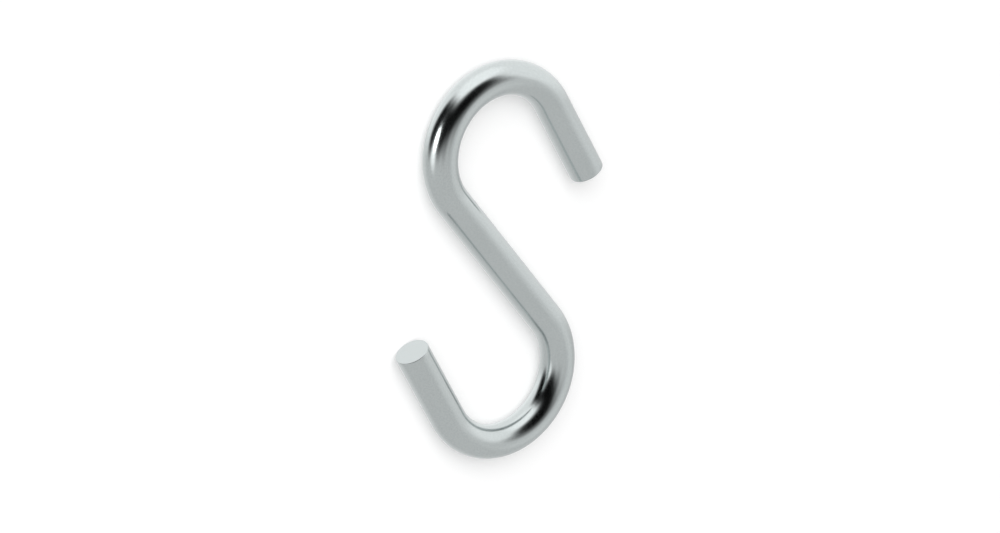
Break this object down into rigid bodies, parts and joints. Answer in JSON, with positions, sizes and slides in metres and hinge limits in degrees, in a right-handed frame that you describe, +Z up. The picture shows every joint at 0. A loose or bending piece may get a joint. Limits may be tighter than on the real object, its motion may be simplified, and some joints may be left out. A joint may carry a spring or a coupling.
{
  "type": "s link",
  "caption": "Round wire bent flat into an open S, with a crook at each end that joins a ring, eye or chain link to another.",
  "frame": {"origin": "centre of the bounding box's underside: the middle of the straight shank, dropped onto the surface the link lies on", "axes": "+Y along the load line through both crooks' centres, towards the crook whose mouth faces +X; +Z up, square to the plane of the S; +X to the right when seen from above, so that the link reads as an S"},
  "size_m": [0.0348, 0.059, 0.005],
  "materials": {
    "bright_steel": "polished"
  },
  "bodies": {
    "root": {"s_link": "bright_steel"}
  },
  "joints": []
}
